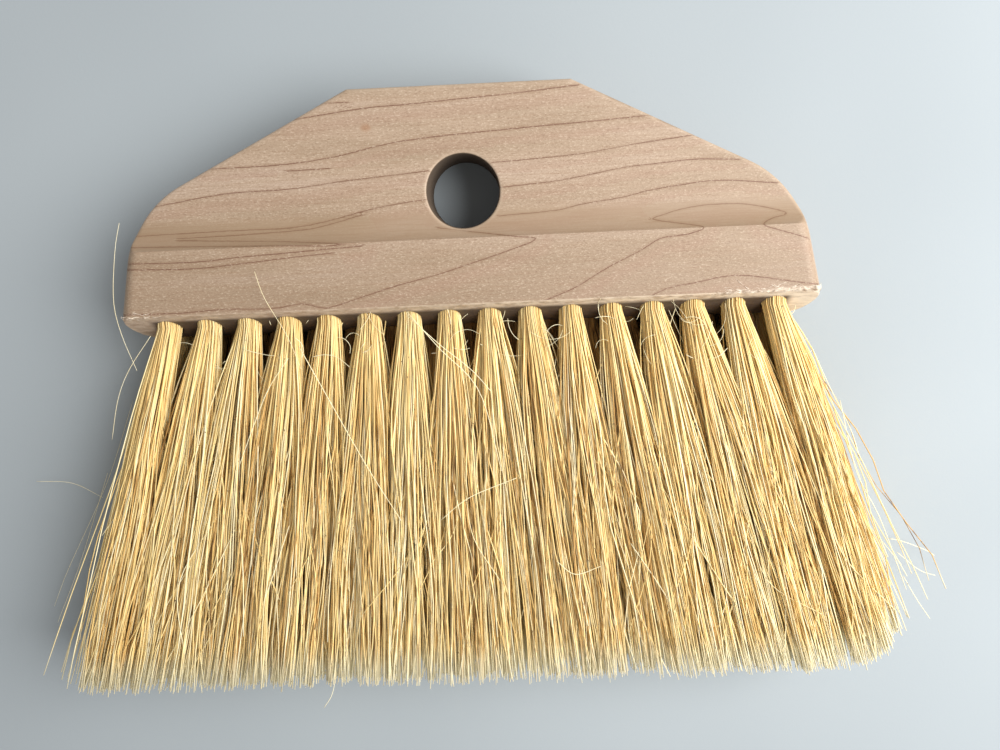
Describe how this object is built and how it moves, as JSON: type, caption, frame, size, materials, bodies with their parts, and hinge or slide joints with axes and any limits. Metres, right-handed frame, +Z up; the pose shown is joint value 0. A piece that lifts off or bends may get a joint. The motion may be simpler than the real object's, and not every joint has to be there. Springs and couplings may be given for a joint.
{
  "type": "bee brush",
  "caption": "Hand brush for sweeping bees off frames: flat maple block with a hang hole and three rows of long, soft plant-fibre tufts, each stapled into a blind hole.",
  "frame": {"origin": "on the surface the brush lies on, below the middle of the whole brush's box", "axes": "+X along the block, +Y from the fibre tips to the top edge of the grip, +Z up through the thickness, out of the face with the front row of tufts"},
  "size_m": [0.246, 0.163, 0.028],
  "materials": {
    "maple": "bare sanded maple, matt, fine flecks and thin brown growth lines",
    "fibre": "undyed straw-coloured plant fibre, single stiff strands with a soft sheen",
    "staple_wire": "drawn bright steel wire"
  },
  "bodies": {
    "root": {"block": "maple", "back_tuft_01": "fibre", "back_tuft_02": "fibre", "back_tuft_03": "fibre", "back_tuft_04": "fibre", "back_tuft_05": "fibre", "back_tuft_06": "fibre", "back_tuft_07": "fibre", "back_tuft_08": "fibre", "back_tuft_09": "fibre", "back_tuft_10": "fibre", "back_tuft_11": "fibre", "back_tuft_12": "fibre", "back_tuft_13": "fibre", "back_tuft_14": "fibre", "back_tuft_15": "fibre", "back_tuft_16": "fibre", "middle_tuft_01": "fibre", "middle_tuft_02": "fibre", "middle_tuft_03": "fibre", "middle_tuft_04": "fibre", "middle_tuft_05": "fibre", "middle_tuft_06": "fibre", "middle_tuft_07": "fibre", "middle_tuft_08": "fibre", "middle_tuft_09": "fibre", "middle_tuft_10": "fibre", "middle_tuft_11": "fibre", "middle_tuft_12": "fibre", "middle_tuft_13": "fibre", "middle_tuft_14": "fibre", "middle_tuft_15": "fibre", "middle_tuft_16": "fibre", "middle_tuft_17": "fibre", "front_tuft_01": "fibre", "front_tuft_02": "fibre", "front_tuft_03": "fibre", "front_tuft_04": "fibre", "front_tuft_05": "fibre", "front_tuft_06": "fibre", "front_tuft_07": "fibre", "front_tuft_08": "fibre", "front_tuft_09": "fibre", "front_tuft_10": "fibre", "front_tuft_11": "fibre", "front_tuft_12": "fibre", "front_tuft_13": "fibre", "front_tuft_14": "fibre", "front_tuft_15": "fibre", "front_tuft_16": "fibre", "back_staples": "staple_wire", "middle_staples": "staple_wire", "front_staples": "staple_wire"}
  },
  "joints": []
}
